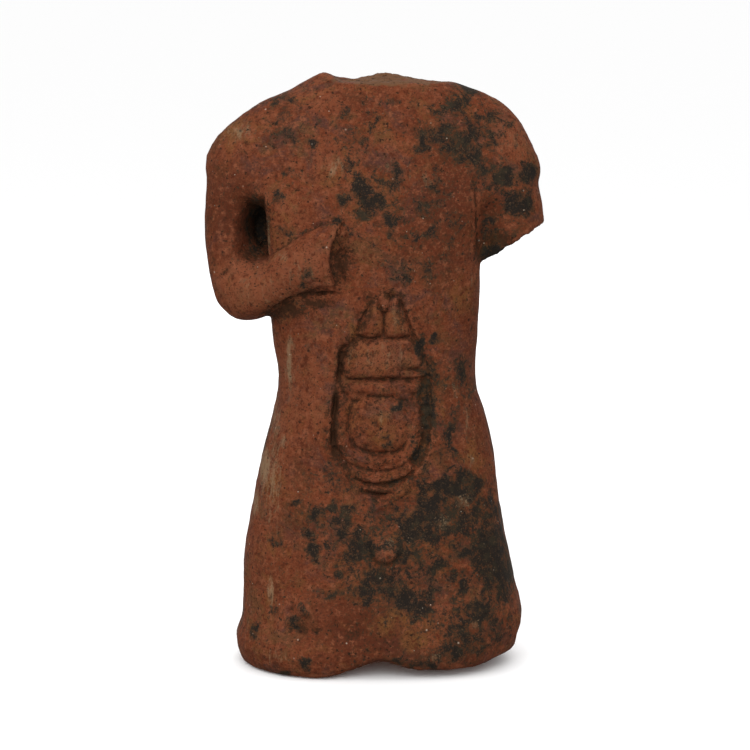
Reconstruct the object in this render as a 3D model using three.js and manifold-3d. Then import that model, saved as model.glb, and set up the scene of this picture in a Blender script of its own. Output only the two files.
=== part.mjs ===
// A headless terracotta votive torso. The figure stands in a long dress, lays a hand on its breast,
// and has lost its head and its left arm. An oval opening in the belly shows the organs in low relief.
// Units are millimetres. +Z is up, the figure faces -Y, +X is on the viewer's right,
// and the origin is the middle of the flat underside.

import * as THREE from 'three';
import { LoftGeometry } from 'three/addons/geometries/LoftGeometry.js';
import { mergeVertices } from 'three/addons/utils/BufferGeometryUtils.js';
import Module from 'manifold-3d';

// Driving dimensions of the body, by height. Left and right are half-widths as the viewer sees them,
// front and back are depths from the axis, and square is the exponent of the rounded section.
const LEVELS = [
  { name: 'lip', z: 11, left: 57.2, right: 58.4, front: 42, back: 33, square: 2.6 },
  { name: 'hem', z: 20, left: 54, right: 60.4, front: 40.5, back: 32.4, square: 2.6 },
  { name: 'calf', z: 30, left: 53.4, right: 57.6, front: 39, back: 31.8, square: 2.55 },
  { name: 'shin', z: 42, left: 53.4, right: 55.3, front: 37.2, back: 31.2, square: 2.5 },
  { name: 'knee', z: 62, left: 50.7, right: 51.9, front: 34.5, back: 30.2, square: 2.5 },
  { name: 'thigh', z: 82, left: 46.5, right: 48.8, front: 32, back: 28.6, square: 2.5 },
  { name: 'hip', z: 102, left: 41.6, right: 44.2, front: 30, back: 26.6, square: 2.5 },
  { name: 'waist', z: 117, left: 39.6, right: 41, front: 28.6, back: 25.2, square: 2.5 },
  { name: 'ribs', z: 132, left: 41.5, right: 41.9, front: 28, back: 24.8, square: 2.5 },
  { name: 'breast', z: 160, left: 43.6, right: 42.4, front: 27.6, back: 25.4, square: 3.2 },
  { name: 'chest', z: 175, left: 44.6, right: 42.4, front: 26.6, back: 25.4, square: 4.6 },
  { name: 'armpit', z: 187, left: 45.6, right: 42.6, front: 25.2, back: 25, square: 5.6 },
  { name: 'pit', z: 192, left: 61, right: 58, front: 24.6, back: 24.4, square: 2.9 },
  { name: 'sleeve', z: 198, left: 68.2, right: 67, front: 23.8, back: 23.6, square: 2.4 },
  { name: 'shoulder', z: 204, left: 67.8, right: 66, front: 22.6, back: 22.6, square: 2.3 },
  { name: 'deltoid', z: 212, left: 64.3, right: 62.4, front: 20.8, back: 21, square: 2.3 },
  { name: 'yoke', z: 220, left: 56.4, right: 58, front: 18.4, back: 18.6, square: 2.3 },
  { name: 'collar', z: 228, left: 45.4, right: 50.4, front: 15.6, back: 16, square: 2.2 },
  { name: 'nape', z: 232, left: 35.6, right: 42.6, front: 14.2, back: 14.6, square: 2.2 },
];

// The underside: a flat bed set in from the lip, and a worn front edge that lifts off the ground.
// The bed steps back on the right, round a bay in its middle and at the worn right corner.
const BED_INSET = 15;
const BED_STEP = { from: -26, to: -8, depth: 13 };
const BED_BAY = { x: 2, depth: 9, width: 8 };
const BED_CORNER = { from: 36, to: 46, depth: 14 };
const LIP_INSET = 4.4;
const LIP_STEPS = 4;
const EDGE_LIFT = { left: 0.4, right: 3.2, from: -26, to: -6 };
const EDGE_NOTCH = { x: 2.5, lift: 4, width: 10 };
const EDGE_CORNER = { from: 36, to: 54, lift: 5 };
const EDGE_WEAR = { from: -30, to: -8 };

// The neck break: an uneven floor with a spur on the left and a hump at the back.
const NECK = { left: 21.5, right: 32, front: 12.5, back: 13.5, floor: 235.4, square: 2.2 };
const NECK_SPUR = { x: -20.5, lift: 4.2, width: 4 };
const NECK_HUMP = { x: 4.5, y: 6, lift: 3, across: 10, along: 8 };
const NECK_CROWN = 1.4;
const BREAK_RINGS = [1, 0.72, 0.42, 0.16];

// The opening in the belly, a drop with its point up, and the organs in it.
const OPENING = { x: 2.8, top: 155.5, bottom: 71.5, half: 20.6, sink: 3, soft: 4.4, skew: 1.4, round: 0.5 };
const LUNGS = { x: 3.6, top: 154.5, bottom: 136, half: 11.8, rise: 3.4, soft: 3.2, slant: 0.85 };
const LIVER = { x: 3.1, top: 135.4, bottom: 119, half: 16.6, topHalf: 12.6, rise: 3.4, soft: 3.2 };
const ROLL = { x: 1.4, z: 116, half: 14.2, radius: 2.2, rise: 3.2 };
const GUT = { x: 3.1, z: 101, half: 13.8, height: 12.2, rise: 3.6, soft: 4.4 };
const COILS = [
  { half: 16.8, height: 16.6, rise: 2.4, radius: 2.1 },
  { half: 17.8, height: 22.8, rise: 2, radius: 2 },
];
const COIL_OPEN = { below: 2, above: 12 };
const LUNG_CLEFT = { x: 3.5, depth: 1.4, radius: 1.4 };
const LIVER_CLEFT = { x: 10.4, depth: 1.1, radius: 1.4 };

// Forms on the dress: the boss, the fold above it, and the swellings of the hem.
const SWELLINGS = [
  { name: 'boss', x: 5.2, z: 49.5, across: 4.6, along: 5, rise: 2.6 },
  { name: 'left hem', x: -30, z: 10, across: 20, along: 10, rise: 3 },
  { name: 'right hem', x: 31, z: 15, across: 20, along: 11, rise: 2.4 },
];
const FOLD = { from: [17.9, 80], to: [-2, 66], radius: 2.6, rise: 1.6 };
const FRONT_FADE = 8;

// Slow unevenness of the hand-smoothed clay: its size and its three waves.
const WOBBLE = { size: 0.5, tall: 0.11, wide: 0.16, cross: 0.06, phase: 1 };

// The figure's right arm, bent with the hand on the breast, and the stump of its left arm.
const UPPER_ARM = {
  path: [[-57.6, -0.8, 194], [-58.5, -1.2, 184], [-58.7, -3.5, 171], [-52.2, -8, 156]],
  across: [10.2, 10, 9.8, 13.6],
  towards: [14.6, 14.4, 13.4, 13],
};
const FOREARM = {
  path: [
    [-51, -9, 155], [-43.5, -15, 154.6], [-35, -20.5, 159.4], [-26.5, -25.4, 164.6], [-18, -28.4, 167.5],
    [-9, -29.5, 168],
  ],
  across: [13.6, 11.4, 10, 11.4, 13.8, 14.2],
  towards: [12.5, 11.5, 9.6, 8.2, 6.8, 6],
};
const HAND_BITE = { x: 6.4, z: 166.5, radius: 24.5, depth: 120, sides: 40 };
const ARM_WEB = {
  path: [[-50, 6, 194], [-50, 6, 178], [-47.5, 4, 161]],
  across: [12, 12, 11],
  towards: [6.6, 6.6, 6.4],
};
const STUMP = {
  path: [[52.6, -0.5, 195], [54.4, -0.8, 181], [56, -1, 165]],
  across: [12.9, 14, 14.6],
  towards: [17, 17, 16.4],
};
const STUMP_BREAK = { at: [55, -1, 172], slant: 35, size: 100 };

// Mesh fineness: fine where the organs are, coarse elsewhere.
const RELIEF_COLUMNS = { reach: 1.28, count: 30, narrow: 9, fan: 0.5, wide: 24, share: 0.75 };
const EDGE_COLUMNS = 5;
const BACK_COLUMNS = 10;
const COARSE_STEP = 7;
const ROW_STEPS = [
  { to: 41, step: COARSE_STEP },
  { to: 68, step: 3.4 },
  { to: 156, step: 2 },
  { to: 180, step: COARSE_STEP },
  { to: 240, step: 3.5 },
];
const LIMB_SIDES = 15;
const LIMB_RINGS = 6;
const DOME_RINGS = 3;
const WELD = 1e-3;
const SLOPE_STEP = 0.2;
const LEAST_SLOPE = 1e-3;

const CLAY = { color: 0x9a5236, roughness: 0.92, metalness: 0 };

const { abs, cos, exp, hypot, max, min, PI, sign, sin, sqrt } = Math;
const smooth = (from, to, value) => THREE.MathUtils.smoothstep(value, from, to);
const bell = (distance, width) => exp(-((distance / width) ** 2));

// Values with no overshoot through the levels: a monotone cubic of one key at a height.
function levelValue(key, z) {
  const last = LEVELS.length - 1;
  if (z <= LEVELS[0].z) return LEVELS[0][key];
  if (z >= LEVELS[last].z) return LEVELS[last][key];
  const i = LEVELS.findIndex((level) => level.z > z) - 1;
  const slope = (j) => (LEVELS[j + 1][key] - LEVELS[j][key]) / (LEVELS[j + 1].z - LEVELS[j].z);
  const tangent = (j) => {
    if (j === 0 || j === last) return slope(min(j, last - 1));
    const [below, above] = [slope(j - 1), slope(j)];
    return below * above <= 0 ? 0 : (2 * below * above) / (below + above);
  };
  const [low, high] = [LEVELS[i], LEVELS[i + 1]];
  const gap = high.z - low.z;
  const t = (z - low.z) / gap;
  return (
    low[key] * (1 + 2 * t) * (1 - t) ** 2 +
    high[key] * t * t * (3 - 2 * t) +
    gap * tangent(i) * t * (1 - t) ** 2 +
    gap * tangent(i + 1) * t * t * (t - 1)
  );
}

function levelAt(z) {
  const level = { z };
  for (const key of ['left', 'right', 'front', 'back', 'square']) level[key] = levelValue(key, z);
  return level;
}

// How far inside an outline a point lies: a level value divided by its own steepness.
function insideOf(level, x, z) {
  const here = level(x, z);
  const steep = hypot(level(x + SLOPE_STEP, z) - here, level(x, z + SLOPE_STEP) - here) / SLOPE_STEP;
  return here / max(steep, LEAST_SLOPE);
}

function openingHalf(z) {
  const { top, bottom, half, skew, round } = OPENING;
  const share = THREE.MathUtils.clamp((top - z) / (top - bottom), 0, 1);
  return half * sin(PI * share ** skew) ** round;
}

const openingLevel = (x, z) => openingHalf(z) - abs(x - OPENING.x);

function lungs(x, z) {
  const { top, bottom, half, slant } = LUNGS;
  const side = half * ((top - z) / (top - bottom)) - abs(x - LUNGS.x);
  const inside = min(z - bottom, side * slant);
  const cleft = LUNG_CLEFT.depth * bell(x - LUNG_CLEFT.x, LUNG_CLEFT.radius);
  return smooth(0, LUNGS.soft, inside) * (LUNGS.rise - cleft);
}

function liver(x, z) {
  const { top, bottom, half, topHalf } = LIVER;
  const side = topHalf + (half - topHalf) * sqrt(max(0, (top - z) / (top - bottom)));
  const inside = min(z - bottom, top - z, side - abs(x - LIVER.x));
  const cleft = LIVER_CLEFT.depth * bell(x - LIVER_CLEFT.x, LIVER_CLEFT.radius);
  return smooth(0, LIVER.soft, inside) * (LIVER.rise - cleft);
}

function roll(x, z) {
  const beyond = max(0, abs(x - ROLL.x) - ROLL.half + ROLL.radius);
  return ROLL.rise * bell(hypot(beyond, z - ROLL.z), ROLL.radius);
}

// A level that is 0 on an oval about the middle of the gut.
function ovalLevel(half, height) {
  return (x, z) => 1 - hypot((x - GUT.x) / half, (z - GUT.z) / height);
}

function gut(x, z) {
  return GUT.rise * smooth(0, GUT.soft, insideOf(ovalLevel(GUT.half, GUT.height), x, z));
}

// Loops of bowel that hang below the gut, open at the top.
function coils(x, z) {
  const hanging = 1 - smooth(GUT.z - COIL_OPEN.below, GUT.z + COIL_OPEN.above, z);
  const loops = COILS.map(({ half, height, rise, radius }) => {
    return rise * hanging * bell(insideOf(ovalLevel(half, height), x, z), radius);
  });
  return max(...loops);
}

function fold(x, z) {
  const start = new THREE.Vector2(...FOLD.from);
  const along = new THREE.Vector2(...FOLD.to).sub(start);
  const offset = new THREE.Vector2(x, z).sub(start);
  const t = THREE.MathUtils.clamp(offset.dot(along) / along.lengthSq(), 0, 1);
  return FOLD.rise * bell(offset.distanceTo(along.multiplyScalar(t)), FOLD.radius);
}

// Everything modelled on the front, as a rise towards the viewer.
function frontRelief(x, z) {
  const within = smooth(0, OPENING.soft, insideOf(openingLevel, x, z));
  const organs = max(lungs(x, z), liver(x, z), roll(x, z), gut(x, z), coils(x, z));
  let rise = within * (organs - OPENING.sink) + fold(x, z);
  for (const { x: cx, z: cz, across, along, rise: height } of SWELLINGS) {
    rise += height * bell(hypot((x - cx) / across, (z - cz) / along), 1);
  }
  return rise;
}

function wobble(x, y, z) {
  const { size, tall, wide, cross, phase } = WOBBLE;
  return (size / 2) * (sin(tall * z + cross * x + phase) + sin(wide * x - cross * z + tall * y));
}

// Front columns gather round the opening, so that its outline and its organs run with the mesh.
function reliefHalf({ z, left, right }) {
  const { reach, narrow, fan, wide, share } = RELIEF_COLUMNS;
  const beyond = max(0, z - OPENING.top, OPENING.bottom - z);
  const half = reach * max(openingHalf(z), min(wide, narrow + fan * beyond));
  return min(half, share * left, share * right);
}

// Columns of a section, counterclockwise from the right: round the back, then across the front.
function sectionColumns(level) {
  const columns = [];
  for (let i = 0; i < BACK_COLUMNS; i++) columns.push({ share: cos((PI * i) / BACK_COLUMNS), side: 1 });
  const { count } = RELIEF_COLUMNS;
  const half = reliefHalf(level);
  const shareAt = (x) => x / (x < 0 ? level.left : level.right);
  const edge = (start, i) => sign(start) * (1 - (1 - abs(start)) * (i / EDGE_COLUMNS) ** 2);
  const [first, last] = [shareAt(OPENING.x - half), shareAt(OPENING.x + half)];
  for (let i = 0; i < EDGE_COLUMNS; i++) columns.push({ share: edge(first, i), side: -1 });
  for (let i = 0; i <= count; i++) {
    columns.push({ share: shareAt(OPENING.x + half * ((2 * i) / count - 1)), side: -1 });
  }
  for (let i = EDGE_COLUMNS - 1; i > 0; i--) columns.push({ share: edge(last, i), side: -1 });
  return columns;
}

function sectionPoint(level, { share, side }, inset = 0) {
  const depth = (side < 0 ? level.front : level.back) - inset;
  const half = (share < 0 ? level.left : level.right) - inset;
  const across = (1 - abs(share) ** level.square) ** (1 / level.square);
  return new THREE.Vector3(share * half, side * depth * across, level.z);
}

// A row of the clothed body, with the relief and the unevenness on it.
function bodyRow(z) {
  const level = levelAt(z);
  return sectionColumns(level).map((column) => {
    const point = sectionPoint(level, column);
    const outward = wobble(point.x, point.y, z);
    point.x *= 1 + outward / level.left;
    point.y *= 1 + outward / level.front;
    if (column.side < 0) point.y -= frontRelief(point.x, z) * (1 - abs(column.share) ** FRONT_FADE);
    return point;
  });
}

// How far the worn front edge of the underside has lifted at a point.
function edgeLift(x, y) {
  const forward = 1 - smooth(EDGE_WEAR.from, EDGE_WEAR.to, y);
  const notch = EDGE_NOTCH.lift * bell(x - EDGE_NOTCH.x, EDGE_NOTCH.width);
  const rise = THREE.MathUtils.lerp(EDGE_LIFT.left, EDGE_LIFT.right, smooth(EDGE_LIFT.from, EDGE_LIFT.to, x));
  const corner = EDGE_CORNER.lift * smooth(EDGE_CORNER.from, EDGE_CORNER.to, x);
  return max(forward * (notch + rise), corner);
}

// How far the bed's front edge steps back at a point across the figure.
function bedStep(x) {
  const step = BED_STEP.depth * smooth(BED_STEP.from, BED_STEP.to, x);
  const corner = BED_CORNER.depth * smooth(BED_CORNER.from, BED_CORNER.to, x);
  return step + corner + BED_BAY.depth * bell(x - BED_BAY.x, BED_BAY.width);
}

// The flat bed, then the rounded lip up to its widest level.
function baseRows() {
  const lip = levelAt(LEVELS[0].z);
  const columns = sectionColumns(lip);
  const bed = columns.map((column) => {
    const point = sectionPoint({ ...lip, z: 0 }, column, BED_INSET);
    if (column.side < 0) point.y = min(point.y + bedStep(point.x), max(point.y, 0));
    return point;
  });
  const rows = [bed];
  const widest = bodyRow(lip.z);
  for (let i = 0; i < LIP_STEPS; i++) {
    const angle = (PI / 2) * (i / LIP_STEPS);
    const shrink = 1 - (LIP_INSET * (1 - sin(angle)) * 2) / (lip.left + lip.front);
    rows.push(
      widest.map(({ x, y }) => {
        const floor = edgeLift(x, y);
        return new THREE.Vector3(x * shrink, y * shrink, floor + (lip.z - floor) * (1 - cos(angle)));
      }),
    );
  }
  return rows;
}

function breakHeight(x, y) {
  const spur = NECK_SPUR.lift * bell(x - NECK_SPUR.x, NECK_SPUR.width);
  const { across, along, lift } = NECK_HUMP;
  const hump = lift * bell(hypot((x - NECK_HUMP.x) / across, (y - NECK_HUMP.y) / along), 1);
  return NECK.floor + spur + hump;
}

// The neck's broken face, in rings that close on its middle.
function breakRows() {
  const middle = (NECK.right - NECK.left) / 2;
  const columns = sectionColumns({ ...NECK, z: NECK.floor });
  return BREAK_RINGS.map((scale) =>
    columns.map((column) => {
      const point = sectionPoint({ ...NECK, z: 0 }, column);
      point.x = middle + (point.x - middle) * scale;
      point.y *= scale;
      point.z = breakHeight(point.x, point.y) + NECK_CROWN * (1 - scale);
      return point;
    }),
  );
}

function bodyHeights() {
  const heights = [];
  const top = LEVELS[LEVELS.length - 1].z;
  let z = LEVELS[0].z;
  while (z < top) {
    heights.push(z);
    z += ROW_STEPS.find(({ to }) => z < to).step;
  }
  return [...heights, top];
}

function bodyGeometry() {
  const rows = [...baseRows(), ...bodyHeights().map(bodyRow), ...breakRows()];
  return new LoftGeometry(rows, { capStart: true, capEnd: true });
}

// A value between the entries of a list, for t from 0 to 1.
function along(list, t) {
  const place = t * (list.length - 1);
  const i = min(Math.floor(place), list.length - 2);
  return THREE.MathUtils.lerp(list[i], list[i + 1], THREE.MathUtils.smoothstep(place - i, 0, 1));
}

// One oval ring of a limb, square to its run. Front is the direction its thickness is measured in.
function limbRing(centre, run, across, towards) {
  const front = new THREE.Vector3(0, -1, 0).addScaledVector(run, run.y).normalize();
  const sideways = new THREE.Vector3().crossVectors(run, front);
  const ring = [];
  for (let i = 0; i < LIMB_SIDES; i++) {
    const angle = (2 * PI * i) / LIMB_SIDES;
    ring.push(
      centre
        .clone()
        .addScaledVector(front, towards * cos(angle))
        .addScaledVector(sideways, across * sin(angle)),
    );
  }
  return ring;
}

// A limb along a curve, domed at both ends.
function limbGeometry({ path, across, towards }) {
  const curve = new THREE.CatmullRomCurve3(path.map((p) => new THREE.Vector3(...p)));
  const rings = [];
  const ringAt = (t, shrink, shift) => {
    const run = curve.getTangent(t);
    const centre = curve.getPoint(t).addScaledVector(run, shift);
    return limbRing(centre, run, along(across, t) * shrink, along(towards, t) * shrink);
  };
  const dome = (t, direction) => {
    const radius = (along(across, t) + along(towards, t)) / 2;
    const steps = [];
    for (let i = 0; i < DOME_RINGS; i++) {
      const angle = (PI / 2) * ((i + 0.5) / DOME_RINGS);
      steps.push(ringAt(t, sin(angle), direction * radius * cos(angle)));
    }
    return direction < 0 ? steps : steps.reverse();
  };
  rings.push(...dome(0, -1));
  for (let i = 0; i <= LIMB_RINGS; i++) rings.push(ringAt(i / LIMB_RINGS, 1, 0));
  rings.push(...dome(1, 1));
  return new LoftGeometry(rings, { capStart: true, capEnd: true });
}

const wasm = await Module();
wasm.setup();

function solidOf(loft) {
  const bare = new THREE.BufferGeometry();
  bare.setAttribute('position', loft.getAttribute('position'));
  bare.setIndex(loft.index);
  const merged = mergeVertices(bare, WELD);
  return new wasm.Manifold(
    new wasm.Mesh({
      numProp: 3,
      vertProperties: merged.getAttribute('position').array,
      triVerts: new Uint32Array(merged.index.array),
    }),
  );
}

function geometryOf(solid) {
  const { vertProperties, triVerts } = solid.getMesh();
  const geometry = new THREE.BufferGeometry();
  geometry.setAttribute('position', new THREE.BufferAttribute(vertProperties, 3));
  geometry.setIndex(new THREE.BufferAttribute(triVerts, 1));
  geometry.computeVertexNormals();
  return geometry;
}

// The forearm ends in a hand that is worn hollow between the thumb and the lower edge.
function forearmSolid() {
  const { x, z, radius, depth, sides } = HAND_BITE;
  const bite = new THREE.CylinderGeometry(radius, radius, depth, sides).translate(x, 0, z);
  return solidOf(limbGeometry(FOREARM)).subtract(solidOf(bite));
}

// The stump is the upper arm cut through on the slanting plane of its break.
function stumpSolid() {
  const { at, slant, size } = STUMP_BREAK;
  const lost = new THREE.BoxGeometry(size, size, size).translate(0, 0, size / 2);
  lost.rotateY(PI - THREE.MathUtils.degToRad(slant)).translate(...at);
  return solidOf(limbGeometry(STUMP)).subtract(solidOf(lost));
}

// The figure is one piece of fired clay, so body and limbs are joined into a single solid.
function torsoMesh() {
  let clay = solidOf(bodyGeometry()).add(forearmSolid()).add(stumpSolid());
  for (const limb of [UPPER_ARM, ARM_WEB]) clay = clay.add(solidOf(limbGeometry(limb)));
  const mesh = new THREE.Mesh(geometryOf(clay), new THREE.MeshStandardMaterial(CLAY));
  mesh.name = 'torso';
  return mesh;
}

const figure = new THREE.Group();
figure.add(torsoMesh());

export default figure;
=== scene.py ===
import math
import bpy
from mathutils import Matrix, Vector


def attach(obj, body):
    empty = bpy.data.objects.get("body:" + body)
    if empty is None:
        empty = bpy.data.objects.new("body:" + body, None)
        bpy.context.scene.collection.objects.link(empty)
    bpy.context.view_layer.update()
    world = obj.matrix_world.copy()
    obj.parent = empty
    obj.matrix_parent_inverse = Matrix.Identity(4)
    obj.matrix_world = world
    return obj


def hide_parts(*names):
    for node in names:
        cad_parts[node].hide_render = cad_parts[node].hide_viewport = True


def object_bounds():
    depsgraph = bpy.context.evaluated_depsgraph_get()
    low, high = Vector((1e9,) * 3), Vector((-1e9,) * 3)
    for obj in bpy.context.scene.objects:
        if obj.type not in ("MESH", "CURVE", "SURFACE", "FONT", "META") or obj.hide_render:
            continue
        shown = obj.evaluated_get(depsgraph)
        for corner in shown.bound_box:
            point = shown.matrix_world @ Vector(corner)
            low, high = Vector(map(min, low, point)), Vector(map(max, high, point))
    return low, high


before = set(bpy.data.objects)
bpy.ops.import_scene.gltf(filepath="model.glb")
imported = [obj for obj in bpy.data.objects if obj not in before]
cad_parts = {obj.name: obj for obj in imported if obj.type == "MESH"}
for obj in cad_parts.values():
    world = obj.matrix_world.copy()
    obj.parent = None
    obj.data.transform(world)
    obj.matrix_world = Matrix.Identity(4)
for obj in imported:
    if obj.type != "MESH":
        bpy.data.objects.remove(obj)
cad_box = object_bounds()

from types import SimpleNamespace as Facts

import bmesh
import bpy
import numpy as np
from mathutils import Vector, noise
from mathutils.bvhtree import BVHTree
from mathutils.kdtree import KDTree

# Lengths are in millimetres in the frame of the solid: x to the viewer's right, -y to the viewer, z up.
MM = 0.001

# The skin over the solid: size of its cells, welding distance and rounds of each smoothing.
SKIN = Facts(cell=2.1, weld=0.001, smooth=11, regain=4, touch_up=4, last=2)
# Shares by which each round of smoothing shrinks the skin and swells it again.
SHRINK_SWELL = (0.5, -0.52)
# Waves of noise are given below as (strength, size, seed); this is the step from one seed to the next.
SEED_STEP = (17.31, 5.17, 9.73)
# The rounded lip round the foot is smoothed less, to keep its outline: heights of the change, and the share.
LIP = Facts(low=9, high=16, share=0.4)
# Faces that are split finer, by the y of their normals: all that face the viewer, then two zones once more.
FRONT_SIDE = 0.15
RELIEF_ZONE = Facts(x=(-22, 28), z=(66, 158), y=-12, facing=-0.2)
ARM_ZONE = Facts(x=(-56, -6), z=(143, 192), y=2, facing=0.2)
# Edges of the solid that stay sharp in the skin: least angle between faces, reach, and how firmly they hold.
SHARP = Facts(angle=0.55, step=0.7, near=0.8, far=3.2, hold=0.9, hold_last=0.8, least=0.01)
# Where they are: on the arm under a height, near the plane of the stump's break, at the neck and at the foot.
SHARP_AT = Facts(arm_top=189, stump_x=40, stump_near=1.5, neck=231, foot=11)

# The crease between the chest and the stump is nearly filled: (x, z), half sizes and rounds of smoothing.
CREASE = Facts(at=(45, 188), half=(9, 16), fade=(1, 0.6), front=-4, pull=0.6, rounds=50)
# Small pulls that the outline asks for: the stump's broken edge up or down, as (x, lift), and the elbow down.
BREAK_EDGE = Facts(lift=[(34, 0), (42, 0.9), (50, 0), (58, 0), (66, -1.5)], above=(7, 0),
                   below=(-2, -0.5))
ELBOW = Facts(at=(-54, 146), half=(17, 10), drop=2)
# The blind pocket between arm and chest: leaning wall, depth, foot as (x, z), width by height, soft edges.
POCKET = Facts(wall=-32.9, lean=0.055, deep=22, curve=1.5, back=8.6, soil=5,
               foot=[(-58, 158.5), (-50, 164), (-46, 165), (-41, 165.6)],
               width=[(164, 15), (172, 15), (180, 14), (186, 10), (195, 4)], at_wall=(0, 0.9),
               at_foot=(0, 1.2), at_top=(195, 176), at_soil=(9, 1))
POCKET_ZONE = Facts(x=(-60, -40), z=(157, 196), y=4, facing=0.4)
# The slope from the upper arm into the pocket is smoothed first: (x, z), half sizes and rounds.
SLOPE = Facts(at=(-52, 178), half=(9, 18), fade=(1, 0.7), off_wall=(1.2, 2.4), front=2, pull=0.6,
              rounds=40)
# Lumps on the dress and the hand, seen from the front: (x, z, radius, height).
LUMPS = [
    (-28, 28.4, 5.2, 2.2), (-33, 23, 4.2, 1.5), (4.4, 52.4, 8.4, 2.5), (24, 62, 8, 0.4), (33, 70, 7, 0.4),
    (-13.8, 176.4, 3.8, 2.4)]
LUMP_SIDE = Facts(y=-6, facing=-0.3)
# They are crumbly: mean height, waves in it, heights at which they begin, and rounds of smoothing.
LUMP_GRAIN = Facts(mean=0.9, waves=[(0.7, 3.2, 18)], edge=(0, 0.3), worn=4)

# The opening in the belly and the organs in it, as outlines of (x, z) points seen from the front.
OPENING = [
    (6.5, 154.6), (1.2, 152.6), (-3.2, 148.6), (-6.4, 143.6), (-9.2, 137.2), (-12.8, 131), (-14.6, 122),
    (-15.6, 114), (-17.2, 106), (-18, 98), (-17, 90.5), (-13.6, 83.5), (-9.5, 77.5), (-4, 73),
    (2.5, 71.2), (8.5, 74.2), (14.5, 79.4), (19.2, 85.2), (22.2, 91.5), (23, 100), (23, 110), (23.2, 119),
    (21.4, 128), (18.4, 134.4), (15.6, 140.4), (13.4, 146), (10.6, 151.4)]
LUNG_LEFT = [(0.6, 151), (-2.4, 147.8), (-4.8, 143.6), (-6.3, 139.6), (-6.7, 136.9), (-3, 135.8),
             (0.6, 136.1), (2.9, 137), (3.2, 141), (2.6, 146)]
LUNG_RIGHT = [(8.4, 152), (10.1, 149.2), (11.9, 145.2), (13.4, 140.8), (13.7, 137.4), (11, 135.9),
              (7, 135.7), (4.1, 136.4), (3.9, 141), (4.6, 146), (6, 150.4)]
HEART = [(1.2, 152.2), (4.8, 153), (6.1, 149.6), (5.1, 146.6), (3.6, 145.8), (2.1, 147.1)]
LIVER_LEFT = [(-6.6, 134.8), (-3, 134.6), (3, 134.9), (9.8, 134.4), (10.2, 127), (10.1, 120.2), (3, 119.7),
              (-4, 119.5), (-11.2, 119.4), (-12.5, 123.5), (-12.2, 127.5), (-11, 130.9)]
LIVER_RIGHT = [
    (9.2, 134.5), (15.2, 134.2), (17.8, 131), (18.6, 127.5), (18.1, 124.3), (15, 123), (9.3, 123.7)]
LIVER_FOOT = [(10.8, 122.8), (17, 121.8), (20.6, 120.4), (16, 119.6), (10.8, 119.8)]
ROLL = [(-11.6, 117.4), (-4, 118.3), (6, 118.4), (14, 117.8), (17.4, 116.9), (17.2, 113.8), (12, 113),
        (4, 112.5), (-4, 113), (-10.2, 113.1), (-13.2, 114.2)]
GUT = [(2.3, 112), (-5, 111.6), (-9.4, 107.6), (-10.6, 101.5), (-9.6, 95.4), (-5.4, 91.6), (2, 90.4),
       (9, 91.2), (13.2, 95.4), (14.2, 102), (12.6, 108), (8.4, 111.6)]
# Each organ: outline, height of its top and width of its rounded edge.
ORGANS = [(LUNG_LEFT, 1.1, 5), (LUNG_RIGHT, 1.5, 5.4), (HEART, 1.0, 2.6), (LIVER_LEFT, 0.8, 3.8),
          (LIVER_RIGHT, 0.7, 3.4), (LIVER_FOOT, -0.6, 1.4), (ROLL, 0.3, 2.6), (GUT, 1.8, 12)]
# Loops of bowel: path, half width and height of the top.
LOOPS = [([(-12.4, 112.6), (-13.4, 106), (-13.5, 99), (-12, 92.4), (-8, 88), (0, 86.2), (8, 86.8), (13.4, 90),
           (15.6, 96), (15.9, 104), (15.4, 112)], 2.9, 0.05),
         ([(-9, 82.6), (-3, 80.6), (4, 80.4), (11, 82.6), (15.6, 86.2)], 2.2, 0.1),
         ([(-6, 76.6), (-1, 75.6), (5, 75.4), (9.5, 77)], 1.5, -0.1),
         ([(-11, 112.8), (-7, 112.5), (-3, 112.3)], 1.7, -0.5),
         ([(7, 112.3), (11, 112.6), (15, 113)], 1.7, -0.5)]
LOOP_ENDS = (-0.02, 0.1)
# The hollow they lie in: depth, width of its edge, rounding between organs, and how it meets the plain belly.
HOLLOW = Facts(depth=1.9, edge=2.4, join=0.9, reach=-6, far=-50.0, blend=(-2, 0.6))
BELLY_ZONE = Facts(x=(-34, 40), z=(56, 172), y=-8, facing=-0.2)
# The plain belly is fitted to the skin round the opening, without the hand: middle, half sizes and powers.
FIT_ZONE = Facts(x=(-32, 38), z=(58, 170), y=20, facing=-0.4)
FIT = Facts(off=-2, hand=(-6, 141), middle=(3, 113), half=(35, 55), powers=5)
# The fold that runs down to the left under the opening: path, half width and height.
FOLD = Facts(path=[(19, 82.4), (10.4, 75.4), (2.6, 70.4), (-4, 67.2)], half=2.6, height=0.9,
             ends=(0, 0.25))
# Every cut line fades at its ends and wavers: waves in its depth and in its width.
CUT = Facts(reach=40, ends=(-0.05, 0.15), deep=[(0.8, 5, 0), (0.5, 1.8, 0)], thin=0.9, wide=[(0.6, 6, 0.5)])
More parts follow.
